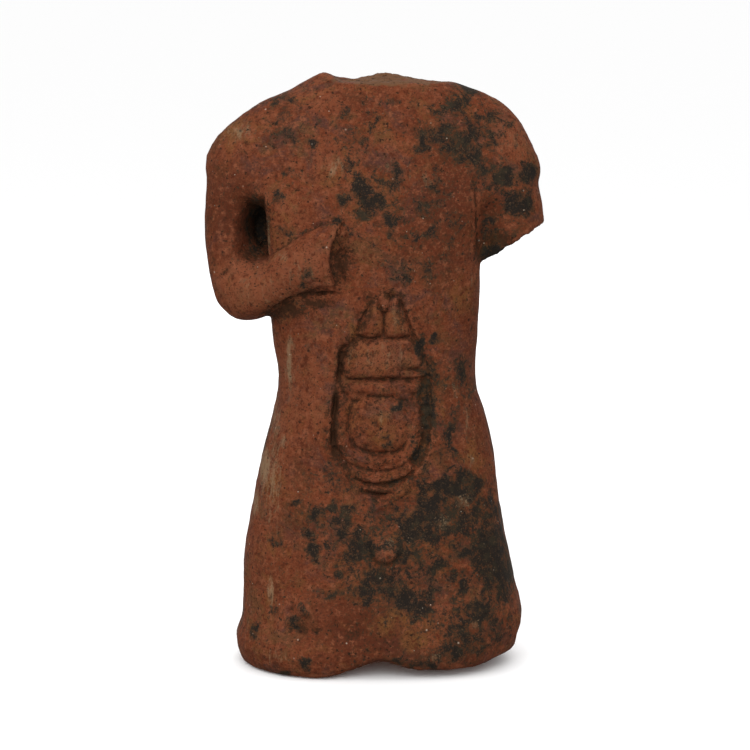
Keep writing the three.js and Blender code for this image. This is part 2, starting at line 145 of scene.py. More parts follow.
# Cut lines in the belly: path, half width and depth.
CUTS = [([(-0.4, 150.8), (-3.2, 147.2), (-5.7, 143), (-7, 140)], 0.8, 0.7),
        ([(9.6, 150.6), (12.4, 145), (14.3, 140), (14.5, 137.4)], 1.0, 0.9),
        ([(3.5, 142), (3.3, 139), (3.5, 136.4)], 0.5, 0.3),
        ([(-7.4, 136), (-2.4, 135.2), (3, 136)], 0.7, 0.7),
        ([(4, 135.6), (9, 135.2), (13, 135.4)], 0.7, 0.3),
        ([(-4.8, 134.6), (-4.9, 131.4)], 0.7, 0.25),
        ([(10.5, 131.6), (10.6, 125), (10.4, 120)], 0.7, 0.22),
        ([(-10.6, 119), (-4, 118.9), (4, 118.9), (12, 119.1), (19, 119.2)], 0.7, 0.75),
        ([(-11.4, 133), (-13, 128.6), (-13.9, 124.4), (-14.6, 116.6)], 1.1, 2.6),
        ([(-15.2, 114.4), (-16.1, 107), (-17, 99.6), (-16.8, 93), (-15.4, 88)], 1.2, 2.8),
        ([(-15.8, 90), (-12.6, 83.6), (-9.6, 79.4), (-7, 77)], 1.5, 1.2),
        ([(-0.8, 112.3), (3.6, 111.3), (9, 112.2)], 0.65, 0.6),
        ([(-11, 106), (-11.6, 101), (-10.4, 96), (-7.6, 92.6)], 1.0, 0.25),
        ([(-7.6, 92.6), (-2, 90), (6, 89.6), (13, 92.6)], 1.0, 0.3),
        ([(-11, 88.6), (-4, 85.4), (5, 85), (13, 88.2)], 0.8, 0.4),
        ([(-6, 82.4), (0, 81), (6, 81.4), (13, 84.6)], 0.9, 0.8),
        ([(-5.4, 77.8), (2, 76.8), (9.6, 78.2)], 1.0, 0.9),
        ([(-7.4, 74.8), (0, 73.4), (6.6, 74)], 0.9, 0.8),
        ([(19.6, 82.4), (19.9, 77), (19.4, 72)], 1.5, 0.7),
        ([(18.6, 95.2), (24, 95.1)], 0.7, 0.8)]
BELLY_SEED = 20
# The channel on the right of the organs, with lumps in it and a wavering edge.
CHANNEL = Facts(path=[(20.4, 118), (20.2, 108), (20, 99), (19.4, 92), (17, 86.4)], half=3.6, inner=1,
                depth=1.2, lumps=[(0.9, 2, 11), (0.45, 1, 12)], edge=[(1.6, 4.5, 16)])
# Grain of the whole relief, and the smoothing that wears it.
RELIEF_GRAIN = [(0.3, 2.2, 13), (0.18, 2.2 / 2.4, 17)]
RELIEF_WEAR = Facts(rounds=2, edge=(-3, 0))
# Painted shade and brown earth in the opening: painted shade at its rim and how wide, darker on its floor,
# and earth with painted shade in cut lines and the channel.
SHADE = Facts(rim=0.5, width=3.2, floor=0.34, floor_edge=(0, 4), cuts=(0.2, 1.2), channel=(4.2, 0.8),
              least=0.4)
# It lies unevenly: mean, waves and the least share.
PATCHY = Facts(mean=0.6, waves=[(1.4, 3.2, 14), (0.7, 1.2, 15)], least=0.1)
# Small cuts on the arm and hand, then on the dress and shoulders: path, half width and depth.
HAND_CUTS = [([(-42, 166), (-31, 172), (-21, 180), (-12, 181.2)], 1.1, 0.5),
             ([(-41, 145), (-36.4, 148.6), (-31.8, 151.2), (-25, 153), (-17, 153)], 1.1, 1.7),
             ([(-12, 172), (-14.8, 165), (-13.6, 156)], 3.2, 1.3),
             ([(-26, 154), (-22, 155.2), (-18.4, 155)], 0.7, 0.5),
             ([(-27, 157.2), (-24, 158.2), (-21, 158)], 0.6, 0.35),
             ([(-31, 161), (-25, 164.6), (-19.6, 165.4)], 2.2, 0.35)]
DRESS_CUTS = [([(-42.4, 40), (-41.6, 34), (-41.8, 28.6)], 0.9, 0.35),
              ([(-40, 39.4), (-28, 40)], 0.6, 0.2),
              ([(-2.6, 56), (-1.6, 49), (4.4, 45.6), (10, 49), (11.2, 56)], 1.2, 0.9),
              ([(-60, 211.6), (-46, 212), (-33, 211)], 1.6, 0.45),
              ([(39, 201), (39.4, 196), (39.9, 190), (40.5, 182), (41.1, 174), (41.4, 167)], 0.7, 0.9),
              ([(-36, 21), (-20, 19.6), (-2, 18.6)], 3.4, 0.8),
              ([(24, 45), (33, 40), (37, 34)], 2, 0.4)]
# Which skin they may cut, and how much earth and painted shade lie in them at which depth.
HAND_SIDE = Facts(x=-4, y=-20, seed=50)
DRESS_SIDE = Facts(x=100, y=6, seed=60)
LINES = Facts(facing=-0.25, soil=0.7, soiled=(0.3, 1.1))
# The forearm lies before the upper arm: its rim as (x, z), and how far the upper arm is set back over it.
RIM = Facts(path=[(-68, 151.6), (-62, 156.8), (-57, 160.8), (-51, 164), (-44, 165)], back=1.3,
            step=(0, 3), fade=(12, 4), left=(-67, -60), right=(-46, -50), facing=(0.1, 0.5))

# The breaks: where they are, their grain, how far they sink, and the waver of the neck's edge.
NECK_BREAK = Facts(z=233.6, fade=2.4, waver=2.4, at=(7, -2), half=(23, 17), rim=(1.15, 0.8),
                   rim_waver=0.35, grain=[(0.6, 3.2, 5), (0.36, 3.2 / 2.3, 5)], sink=0.24)
STUMP_BREAK = Facts(at=(55, -1, 172), slant=35, fade=(1.6, 0.4), x=(46, 53), z=162,
                    grain=[(0.7, 3.4, 6), (0.42, 3.4 / 2.3, 6)], sink=0.28)
BREAK_WAVER = [(1, 8, 8), (0.6, 3, 8)]

# Unevenness of the hand-smoothed clay, calmer at the underside; then crumbs of earth and pits.
WAVES = [(0.34, 26, 1), (0.26, 9, 2), (0.13, 3.6, 3)]
CALM = Facts(share=0.75, heights=(3, 0.5))
CRUMBS = [(0.5, 1.7, 9)]
PITS = Facts(count=150, small=1.0, large=2.2, depth=0.26, seed=7)

# How far the skin is turned to the front, widely to the front, or to the side, for the marks below.
FACING = Facts(front=(0.02, 0.4), wide=(-0.2, 0.2), side=(0.3, 0.7))
# Hollows and ridges of the skin, found by smoothing it: rounds, pull, depths, and how much earth and painted
# shade the hollows take.
CAVITY = Facts(rounds=6, pull=0.6, depths=(0.03, 0.3), soil=0.8)
# How fast the marks below fade from their middles.
MARK_FALL = 0.6
# Marks wander off their round outlines, sideways and up.
WANDER = [(3.4, 6, 31), (3.4, 6, 32)]
# Dark deposit on the front, and in places painted shade, from the top down: (x, z, half width, half height,
# strength).
SOOT_SHOULDERS = [
    (33, 216, 19, 13, 0.44), (-8, 214, 10, 16, 0.34), (-36, 222, 10, 10, 0.34),
    (25, 215.5, 8.5, 3.6, 0.9), (33, 213, 6, 6, 0.84), (40, 217, 7.5, 5, 0.7), (34, 227, 5, 4, 0.8),
    (28, 224, 3.6, 2.6, 0.75), (45, 222, 6, 1.9, 0.75), (36, 208.5, 7.5, 3, 0.82),
    (19, 213, 2.8, 3, 0.85), (54, 219, 2.2, 2.8, 0.6), (46, 211, 4.5, 2.4, 0.7),
    (43, 202.5, 5.5, 2.2, 0.8), (60.5, 200, 3, 3.4, 1), (38, 234.2, 5, 2, 1.6),
    (9, 200.4, 3.2, 2.8, 0.65), (-7, 216, 3.2, 5.4, 0.52), (-3, 211.6, 3, 2, 0.5),
    (-25, 212.6, 2.1, 2, 0.95), (-33, 200.4, 3.4, 2.2, 0.5), (-36.5, 215.4, 6.4, 3, 0.56),
    (-41, 226, 2.6, 1.8, 0.7), (-36.5, 229, 6, 3, 0.56), (7, 229, 3.4, 2.2, 0.52)]
# On the chest, the rows in the pocket and in the armpit under the stump are painted shadow, the rest soot.
SOOT_AND_SHADE_CHEST = [
    (50, 199, 15, 9, 0.46), (3, 189, 15, 13, 0.42), (22, 182, 13, 22, 0.34), (-46.8, 178, 2.6, 7, 1.3),
    (49, 173, 5, 4, 0.4), (46.5, 167.6, 3.4, 2.6, 2.2), (46, 175, 6, 7, 0.42),
    (46.2, 182.4, 2.6, 2.2, 0.8), (57, 191.4, 3.6, 3, 1), (12, 165, 16, 9, 0.34),
    (51.5, 199, 5, 2.6, 1.1), (57.5, 187.5, 4.8, 4.4, 1.3), (44, 194.6, 2.4, 1.2, 0.65),
    (46, 181.5, 3.6, 3, 0.6), (56.5, 177, 2.2, 3.2, 0.6), (-5.5, 194.5, 3.8, 4.4, 1),
    (-1.5, 189.5, 4.6, 3.6, 1), (2.6, 187, 3, 3.4, 0.9), (-11, 189.6, 2.4, 3, 0.75),
    (-5, 184.4, 3.8, 2.4, 0.85), (5, 195.6, 4.4, 4, 0.75), (6.4, 183, 3.2, 3.6, 0.75),
    (7, 177.2, 2.6, 2.8, 0.65), (19, 187, 2.4, 4.4, 0.65), (23.4, 196, 3.4, 4, 0.65),
    (21, 176, 2.2, 5, 0.7), (17, 174.4, 1.8, 1.6, 0.6), (29, 173.4, 4.4, 3.4, 0.5),
    (20.8, 163, 2, 4.4, 0.75), (22, 159.4, 3.2, 1.6, 0.65), (7.6, 160, 2.8, 1.6, 0.65),
    (13, 160.4, 1.6, 1.2, 0.6), (-15.5, 182.6, 2.8, 2.4, 0.85), (-27, 160.4, 3.2, 2.4, 0.75),
    (-29.6, 157, 2, 1.4, 0.65), (-35, 178, 2.8, 1.7, 0.62), (-39, 189.6, 1.9, 2.5, 0.8),
    (10.4, 176, 2, 1.6, 0.5)]
SOOT_BELLY = [
    (35, 121, 3.4, 6, 0.66), (38, 113, 3, 5, 0.5), (27, 116, 5, 12, 0.42), (30, 96, 5, 16, 0.42),
    (18.2, 131.6, 1.7, 2.9, 1.6), (23.8, 134.8, 1.7, 1.2, 1.5), (9.3, 109.6, 1.2, 2.2, 1.3),
    (3.4, 97.4, 2.6, 1.3, 0.65), (5.4, 93.6, 2.2, 1.9, 0.65), (15, 92.8, 1.8, 1.6, 0.6),
    (20.6, 104, 2.8, 8, 0.85), (20.2, 114, 2.6, 5, 0.8), (21, 95.4, 3, 1.6, 0.7),
    (18.2, 88, 2.6, 3.6, 0.85), (21.4, 123, 3.4, 4, 0.75), (31, 98, 1.8, 5.6, 0.72),
    (31, 89, 1.8, 3, 0.65)]
SOOT_DRESS = [
    (28, 40, 16, 14, 0.48), (6, 60, 18, 12, 0.5), (-6, 48, 12, 12, 0.46), (-14, 78, 10, 8, 0.4),
    (12, 52, 5, 8, 0.75), (4, 63, 10, 6, 0.52), (-4, 41, 11, 10, 0.52), (-22, 62, 10, 8, 0.46),
    (36, 34, 8, 8, 0.5), (31, 66, 17, 12, 0.66), (16, 52, 12, 14, 0.56), (48, 46, 9, 18, 0.85),
    (8, 37, 13, 11, 0.58), (-13, 58, 15, 12, 0.46), (22, 64, 9, 7, 0.9), (14, 57, 7, 5, 0.85),
    (33, 73, 8, 5, 0.95), (40, 76, 5, 4, 0.9), (46, 50, 7, 10, 1), (52, 38, 5, 10, 1),
    (47, 63, 4, 7, 0.75), (20.6, 81, 3, 2.4, 0.6), (19.4, 75, 1.7, 4.6, 0.82), (8, 77.6, 2.4, 1.3, 0.7),
    (30, 76, 9.5, 3.4, 1), (23.4, 70.6, 6.6, 3.4, 1), (36, 79.4, 5, 2.7, 0.95), (32, 66, 9, 5, 0.8),
    (42.6, 68, 3, 5.6, 0.72), (38, 64, 7, 3, 0.75), (29, 60, 8, 3.4, 0.8), (14.6, 62.4, 5.4, 5, 0.85),
    (22, 57, 5.4, 3.4, 0.8), (12.4, 55.4, 3.2, 6, 0.8), (17, 49, 2.4, 4.6, 0.9),
    (26, 44.6, 4.8, 3.9, 0.95), (34.4, 50.6, 5.6, 2, 0.9), (42, 46, 3.9, 4.6, 0.9),
    (45.6, 54, 3.6, 5.6, 0.9), (49, 45, 5.4, 8, 0.95), (51.4, 34, 4.4, 7, 0.9),
    (22.4, 34, 2.8, 3.4, 0.85), (35, 36, 2.2, 2.8, 0.8), (33, 32.4, 2, 2, 0.6),
    (-30.5, 69, 2.3, 2.5, 0.9), (-22.4, 65.6, 3.2, 2.3, 0.95), (-16.6, 69, 3.6, 1.8, 0.75),
    (-15, 63, 2.6, 2.4, 0.85), (-26, 61.4, 3.2, 2.2, 0.55), (-10.6, 60.6, 3.6, 5, 0.95),
    (-24.4, 51, 2.5, 3.8, 1), (-26, 56, 1.8, 2, 0.75), (-5.4, 54, 4.4, 5, 1),
    (-8.6, 49.4, 3.2, 2.6, 0.85), (-12.8, 42.4, 3, 2.4, 0.85), (-14.6, 45.6, 2, 1.6, 0.7),
    (-4, 37, 5.4, 5.6, 1), (2, 40.6, 4.4, 6, 1), (6.4, 34.6, 4.4, 4, 0.9), (-16, 33, 3.8, 1.6, 0.85),
    (-39, 54, 2.9, 1.9, 0.55), (-10.6, 67.4, 3, 2.4, 0.75), (-3, 62, 3, 3, 0.55), (-27, 81, 2, 2.6, 0.5)]
SOOT_HEM = [
    (38, 20, 16, 14, 0.5), (46, 30, 10, 20, 0.55), (30, 12, 9, 6, 0.7), (40, 13, 6, 5, 0.66),
    (20, 7, 9, 3.6, 0.64), (36, 20, 14, 12, 0.52), (14, 31.4, 6.8, 5, 1), (19, 27, 4.6, 3, 0.8),
    (42.4, 25.4, 6.6, 4.2, 1), (34.6, 17, 5.4, 4.6, 0.8), (41, 16, 4, 2.2, 0.75),
    (33.4, 10.4, 4.6, 2.2, 0.9), (9, 7, 3.6, 2.2, 0.8), (24, 5.4, 3.4, 2.8, 0.75),
    (16.4, 6.4, 2.4, 2, 0.65), (-27, 28, 3, 2.4, 0.62), (-33, 22.6, 3.4, 1.8, 0.7),
    (-49, 16, 2.4, 2.9, 0.75), (-27, 7, 2.3, 2.2, 0.8), (-37, 1.6, 3.4, 1.4, 0.85),
    (-40, 25, 1.8, 1.4, 0.6)]
SOOT_AND_SHADE_FRONT = SOOT_SHOULDERS + SOOT_AND_SHADE_CHEST + SOOT_BELLY + SOOT_DRESS + SOOT_HEM
# The hidden back has a few plain patches.
SOOT_BACK = [(-24, 194, 16, 9, 0.7), (-8, 202, 18, 12, 0.42), (26, 88, 16, 18, 0.5), (30, 78, 10, 9, 0.76),
             (-28, 40, 18, 12, 0.5), (-34, 44, 8, 6, 0.78), (10, 150, 12, 26, 0.36), (2, 30, 12, 6, 0.5)]
SOOT_SIDE = [(6, 168, 7, 9, 0.6), (-4, 92, 8, 12, 0.55), (10, 44, 9, 10, 0.72), (-12, 20, 8, 5, 0.66)]
# Pale dust and lime, as above.
PALE_FRONT = [
    (-46, 154, 14, 8, 0.34), (-30, 163, 10, 7, 0.34), (3, 128, 11, 7, 0.38), (-34.2, 124, 1.8, 11, 0.75),
    (-40.5, 101, 2.8, 10, 0.62), (-44.6, 81, 2.6, 8, 0.95), (-48.5, 66, 1.8, 5, 0.8),
    (-36.5, 93, 1.6, 3.6, 0.6), (-41.5, 79, 4.5, 18, 0.58), (-41.6, 33.4, 1.4, 6.6, 0.75),
    (36.4, 100, 2.4, 7, 0.5), (37.4, 86, 3, 6, 0.4), (37.6, 156, 2.4, 14, 0.34), (31, 116, 3, 8, 0.42),
    (35, 70, 4.4, 4, 0.7), (26.6, 62.4, 4.6, 3.4, 0.75), (-16.5, 203.6, 3.8, 4.6, 0.56),
    (-54, 216, 7, 4, 0.55), (-42.2, 175.5, 0.6, 8.6, 0.75), (6, 204, 4, 3.4, 0.34),
    (53, 214, 8, 10, 0.34), (23.6, 9.4, 3, 2.4, 0.65), (-39, 9, 4, 3, 0.5), (5, 55, 3.4, 3, 0.55),
    (14, 57, 2, 3, 0.5), (-47, 168, 5, 4, 0.35), (40, 22, 2.6, 2.2, 0.65), (20, 198, 7, 4, 0.42),
    (4, 131, 9, 4, 0.38), (-9, 129, 3, 4, 0.42), (9, 143, 4, 6, 0.45), (2, 105, 7, 4, 0.38),
    (-36.6, 168, 4, 2.4, 0.45)]
# Rubbed, paler clay, as above; the first three rows, along the forearm's rim, are a painted highlight.
WORN_AND_HIGHLIGHT_FRONT = [
    (-61, 158, 2.4, 1.6, 0.9), (-56, 161.6, 2.8, 1.4, 0.9), (-49, 164.4, 4, 1.2, 1),
    (-47, 154, 16, 9, 0.9), (-28, 164, 12, 8, 0.8), (1, 128, 13, 8, 0.95), (-36, 105, 7, 28, 0.45),
    (53, 217, 8, 9, 0.85), (4.4, 52.6, 4.6, 5, 0.5), (54, 224, 8, 8, 0.6), (-24, 112, 5, 22, 0.5),
    (2, 103, 8, 7, 0.35)]
OCHRE_FRONT = [
    (-8, 17, 11, 6, 0.35), (4, 144, 8, 7, 0.6), (2, 127, 12, 7, 0.5), (2, 102, 11, 10, 0.5),
    (-56, 217.4, 7.4, 5.6, 0.85), (-50, 213, 5, 2, 0.8), (7, 24.6, 9, 6.4, 0.8), (15, 17.6, 6, 4.6, 0.8),
    (22, 21.6, 4, 3, 0.6), (-3, 22, 2.4, 1.8, 0.8), (38, 88, 4.4, 6, 0.7), (13, 65, 4, 3, 0.7),
    (18.6, 92.4, 2.4, 2.4, 0.8), (-9, 139, 2.4, 4, 0.8), (7, 152.6, 2.4, 1.6, 0.8),
    (28, 107, 2.6, 2.6, 0.7), (-6, 75.2, 2.6, 1.2, 0.8), (34, 150, 5, 9, 0.6), (47, 172, 4, 6, 0.6),
    (24, 40, 7, 4, 0.5), (-36, 52, 8, 10, 0.35), (34, 24, 4, 3, 0.5)]
# Earth in hollows, as above; under the forearm, beside the hand, in the pocket and in the armpit under the
# stump it is also painted shade.
EARTH_AND_SHADE_FRONT = [
    (-28, 26.2, 3.4, 1.6, 0.7), (-33, 21.4, 2.8, 1.4, 0.8), (-57, 186, 9, 18, 0.3),
    (43.4, 168, 3.4, 4, 1), (47, 168.6, 5, 3.2, 0.9), (2, 19, 22, 12, 0.38), (-34, 146.2, 7, 2.6, 1),
    (-24, 149.6, 7, 2.4, 0.95), (-40, 143.6, 4.4, 3, 0.9), (-13.4, 164, 4, 6.4, 0.9),
    (-10, 171, 3, 4, 0.6), (-47, 180, 4.4, 10, 1.2), (-50, 168, 5, 4.4, 0.7), (53, 172.4, 5, 2.4, 0.6),
    (49, 174, 7, 4.5, 0.85), (46, 186, 5, 6, 0.36), (-16.6, 95, 1.5, 8, 1.2), (-15.7, 108, 1.4, 8, 1.3),
    (-13.5, 125, 1.3, 6.5, 1.3), (0, 75, 9, 1.6, 0.8), (20.2, 105, 3, 14, 0.72),
    (17.6, 88, 2.8, 4.4, 0.75), (21.4, 123, 3.2, 4.4, 0.6), (2, 77.8, 8, 1.1, 0.7), (-1, 73.6, 6, 1, 0.6),
    (-11, 80, 5, 3, 0.55), (4, 72, 10, 2, 0.5), (11, 84, 5, 2, 0.45), (-12, 83, 3, 4, 0.55),
    (-14, 118, 1.6, 5, 0.7), (-24, 155, 6, 2.4, 0.6), (3, 66, 8, 3, 0.45), (-1.6, 52, 1.8, 5, 0.7),
    (10.4, 52, 1.8, 5, 0.7), (4.6, 46.4, 5, 1.4, 0.7)]
# Clay that fired darker, as above; the rows over the forearm's rim and in the armpit under the stump are
# painted shade.
DEEP_AND_SHADE_FRONT = [
    (-58, 167, 6, 3.4, 0.8), (28, 184, 13, 24, 1), (20, 176, 14, 12, 0.8), (40, 140, 7, 28, 0.45),
    (-57, 186, 11, 20, 0.85), (-4, 20, 20, 12, 1), (-28, 86, 12, 14, 0.5), (44, 112, 6, 26, 0.6),
    (-30, 62, 12, 20, 0.4), (30, 108, 9, 30, 0.45), (52, 184, 10, 14, 0.5), (46, 178, 7, 14, 1),
    (44, 172, 5, 8, 1), (38, 14, 12, 10, 0.8), (10, 10, 16, 6, 0.6)]

# Colours as they are under plain light, in linear values.
CLAY_DEEP = (0.06, 0.0145, 0.0062, 1)
CLAY = (0.112, 0.0274, 0.0108, 1)
CLAY_PALE = (0.172, 0.0552, 0.0262, 1)
STAIN = (0.042, 0.0155, 0.0075, 1)
OLIVE = (0.076, 0.041, 0.0158, 1)
DUSK = (0.05, 0.0225, 0.018, 1)
GRIME = (0.035, 0.0212, 0.0105, 1)
# Near-black of soot, also the colour of the painted shadow in the pocket.
SOOT_AND_SHADOW = (0.0098, 0.0084, 0.007, 1)
SOOT_MOSS = (0.021, 0.0172, 0.011, 1)
SOOT_DUST = (0.072, 0.041, 0.0215, 1)
LIME = (0.205, 0.134, 0.075, 1)
OCHRE = (0.125, 0.053, 0.0165, 1)
# Dark earth, also the colour of painted shade in hollows, the pocket and under the forearm.
EARTH_AND_SHADE = (0.024, 0.0112, 0.0054, 1)
BROKEN = (0.108, 0.056, 0.027, 1)
# Near-black of the pits: painted shade inside them.
PIT_SHADE = (0.013, 0.0072, 0.0046, 1)
GRAIN = (0.42, 0.33, 0.25, 1)
# Round dots in the clay: least share of the full radius, and softness of the edge, in cells.
DOT = Facts(least=0.4, edge=0.06)

# Camera of the photograph: height of the eye over the level, distance from the figure's middle, and the aim.
CAMERA = Facts(elevation=8, distance=1250, target=120, aim=116.9, lens=147.9, sensor=36)
FLOOR = Facts(half=30, colour=(0.96, 0.96, 0.96, 1))
SKY = Facts(top=1.1, level=0.84, below=0.3, dim=(-0.25, 0.0), bright=(0.0, 1.0))
KEY = Facts(at=(-60, -1200, 600), size=900, power=13)
FILL = Facts(at=(-700, -700, 900), size=700, power=2)
BACK = Facts(at=(200, 1300, 1000), size=1200, power=7)


def smoothstep(values, low, high):
    share = np.clip((values - low) / (high - low), 0, 1)
    return share * share * (3 - 2 * share)


def dome(away):
    """A soft lump: 1 in its middle, 0 from a distance of 1 on."""
    return np.clip(1 - away ** 2, 0, 1) ** 1.5


def line_distance(points, path):
    """Distance of (x, z) points from a path, and their share of the way along it."""
    best = np.full(len(points), np.inf)
    along = np.zeros(len(points))
    path = np.array(path, float)
    steps = np.linalg.norm(np.diff(path, axis=0), axis=1)
    for i, step in enumerate(steps):
        edge = path[i + 1] - path[i]
        share = np.clip((points - path[i]) @ edge / step ** 2, 0, 1)
        away = np.linalg.norm(points - path[i] - share[:, None] * edge, axis=1)
        nearer = away < best
        best = np.where(nearer, away, best)
        along = np.where(nearer, (steps[:i].sum() + share * step) / steps.sum(), along)
    return best, along


def rounded(points, closed=True, steps=5):
    """A smooth curve through the given points."""
    p = np.array(points, float)
    if closed:
        row = np.vstack([p[-1:], p, p[:2]])
    else:
        row = np.vstack([2 * p[:1] - p[1:2], p, 2 * p[-1:] - p[-2:-1]])
    before, here, after, beyond = row[:-3], row[1:-2], row[2:-1], row[3:]
    curve = []
    for t in np.arange(steps) / steps:
        square = (2 * before - 5 * here + 4 * after - beyond) * t ** 2
        cube = (3 * here - before - 3 * after + beyond) * t ** 3
        curve.append(0.5 * (2 * here + (after - before) * t + square + cube))
    curve = np.stack(curve, axis=1).reshape(-1, 2)
    return np.vstack([curve, p[:1] if closed else p[-1:]])


def oval_distance(points, oval):
    """Distance of points of a plane from the middle of an oval, 1 on its edge."""
    return np.linalg.norm((points - oval.at) / oval.half, axis=1)


def inside_distance(points, outline):
    """Distance of (x, z) points from a smooth closed outline, positive inside."""
    curve = rounded(outline)
    best, _ = line_distance(points, curve)
    inside = np.zeros(len(points), bool)
    for (x0, z0), (x1, z1) in zip(curve, curve[1:]):
        between = (z0 > points[:, 1]) != (z1 > points[:, 1])
        rise = z1 - z0 if z1 != z0 else 1e-9
        inside ^= between & (points[:, 0] < (x1 - x0) * (points[:, 1] - z0) / rise + x0)
    return np.where(inside, best, -best)


def join(low, high, width):
    """The higher of two heights, with the valley between them rounded."""
    gap = np.maximum(width - np.abs(low - high), 0)
    return np.maximum(low, high) + gap * gap / (4 * width)


def noise_field(points, size, seed):
    """Smooth noise with waves of the given size."""
    shift = Vector([seed * step for step in SEED_STEP])
    return np.array([noise.noise(Vector(p) + shift) for p in points / size])


def waves(points, rows, seed=0):
    """Sum of noise fields given by strength, size and seed."""
    return sum(strength * noise_field(points, size, seed + own) for strength, size, own in rows)


def cut_depth(points, cuts, seed):
    """Depth of the cut lines at (x, z) points; each line fades at its ends and wavers in depth."""
    depth = np.zeros(len(points))
    for i, (path, half, deep) in enumerate(cuts):
        near = np.where((np.abs(points - np.mean(path, axis=0)) < CUT.reach).all(axis=1))[0]
        away, along = line_distance(points[near], rounded(path, False))
        ends = smoothstep(np.minimum(along, 1 - along), *CUT.ends)
        flat = np.column_stack([points[near], np.zeros(len(near))])
        waver = 1 + waves(flat, CUT.deep, seed + i)
        wide = half * (CUT.thin + waves(flat, CUT.wide, seed + i))
        depth[near] = np.maximum(depth[near], deep * ends * waver * np.exp(-(away / wide) ** 2))
    return depth


class Skin:
    """The clay surface as arrays: positions in millimetres, edges and normals."""

    def __init__(self, mesh):
        self.mesh = mesh
        self.co = np.zeros(len(mesh.vertices) * 3, np.float32)
        mesh.vertices.foreach_get("co", self.co)
        self.co = self.co.reshape(-1, 3).astype(float) / MM
        pairs = np.zeros(len(mesh.edges) * 2, np.int32)
        mesh.edges.foreach_get("vertices", pairs)
        self.a, self.b = pairs.reshape(-1, 2).T
        self.count = np.bincount(pairs, minlength=len(self.co))
        # Earth and painted shade laid into the opening and the cut lines.
        self.soil = np.zeros(len(self.co))

    @property
    def flat(self):
        """The vertices as (x, z), as they are seen from the front."""
        return self.co[:, [0, 2]]

    def mean(self, values):
        """Mean of each vertex's neighbours."""
        total = []
        for column in values.T:
            forth = np.bincount(self.a, column[self.b], len(column))
            total.append(forth + np.bincount(self.b, column[self.a], len(column)))
        return np.array(total).T / self.count[:, None]

    def smooth(self, rounds, weight=1.0):
        """Smoothing that evens facets out and keeps the volume."""
        weight = np.broadcast_to(weight, len(self.co))[:, None]
        for _ in range(rounds):
            for factor in SHRINK_SWELL:
                self.co = self.co + factor * weight * (self.mean(self.co) - self.co)

    def melted(self, rounds, weight):
        """The vertices after plain smoothing, which fills hollows."""
        co = self.co
        for _ in range(rounds):
            co = co + weight * (self.mean(co) - co)
        return co

    def store(self):
        self.mesh.vertices.foreach_set("co", (self.co * MM).astype(np.float32).ravel())
        self.mesh.update()

    def normals(self):
        self.store()
        found = np.zeros(len(self.co) * 3, np.float32)
        self.mesh.vertex_normals.foreach_get("vector", found)
        return found.reshape(-1, 3).astype(float)


def in_zone(spot, zone):
    """Whether the point x, y, z, or each of a row of points, lies in a zone of the front."""
    x, y, z = spot
    low_x, high_x = zone.x
    low_z, high_z = zone.z
    return (x > low_x) & (x < high_x) & (z > low_z) & (z < high_z) & (y < zone.y)


def facing_zone(co, normals, zone):
    """The same for rows of points that also have to face the viewer."""
    return in_zone(co.T, zone) & (normals[:, 1] < zone.facing)


def refine(mesh, wanted):
    """Splits the wanted faces in four."""
    bm = bmesh.new()
    bm.from_mesh(mesh)
    bm.normal_update()
    faces = [face for face in bm.faces if wanted(face.calc_center_median() / MM, face.normal)]
    edges = {edge for face in faces for edge in face.edges}
    bmesh.ops.subdivide_edges(bm, edges=sorted(edges, key=lambda e: e.index), cuts=1, use_grid_fill=True)
    bmesh.ops.triangulate(bm, faces=[face for face in bm.faces if len(face.verts) > 4])
    bm.to_mesh(mesh)
    bm.free()


def even_skin(node):
    """An even mesh over a copy of the solid, and a search tree of the solid."""
    solid = bmesh.new()
    solid.from_mesh(node.data)
    bmesh.ops.remove_doubles(solid, verts=solid.verts, dist=SKIN.weld * MM)
    tree = BVHTree.FromBMesh(solid)
    sharp = sharp_points(solid)
    copy = bpy.data.meshes.new("torso_copy")
    solid.to_mesh(copy)
    solid.free()
    piece = bpy.data.objects.new("torso_clay", copy)
    bpy.context.scene.collection.objects.link(piece)
    cells = piece.modifiers.new("cells", "REMESH")
    cells.mode = "VOXEL"
    cells.voxel_size = SKIN.cell * MM
    graph = bpy.context.evaluated_depsgraph_get()
    even = bpy.data.meshes.new_from_object(piece.evaluated_get(graph))
    piece.modifiers.clear()
    piece.data = even
    return piece, tree, sharp


def stump_height(co):
    """Height of points over the plane in which the arm is broken off."""
    slant = math.radians(STUMP_BREAK.slant)
    return (co - np.array(STUMP_BREAK.at)) @ np.array([-math.sin(slant), 0, math.cos(slant)])


def sharp_points(solid):
    """Points along the solid's sharp edges on the bent arm, round the breaks and round the underside."""
    found = []
    for edge in solid.edges:
        start, end = (vert.co / MM for vert in edge.verts)
        middle = (start + end) / 2
        wanted = in_zone(middle, ARM_ZONE) and middle.z < SHARP_AT.arm_top
        broken = abs(stump_height(np.array(middle))) < SHARP_AT.stump_near
        wanted |= middle.x > SHARP_AT.stump_x and broken
        wanted |= middle.z > SHARP_AT.neck or middle.z < SHARP_AT.foot
        if wanted and edge.calc_face_angle(0) > SHARP.angle:
            steps = 1 + int((end - start).length / SHARP.step)
            found += [start.lerp(end, i / steps) for i in range(steps + 1)]
    tree = KDTree(len(found))
    for i, point in enumerate(found):
        tree.insert(point, i)
    tree.balance()
    return tree


def crisp_share(co, sharp):
    """1 on the sharp edges, falling to 0 away from them."""
    away = np.array([sharp.find(point)[2] for point in co])
    return smoothstep(away, SHARP.far, SHARP.near)


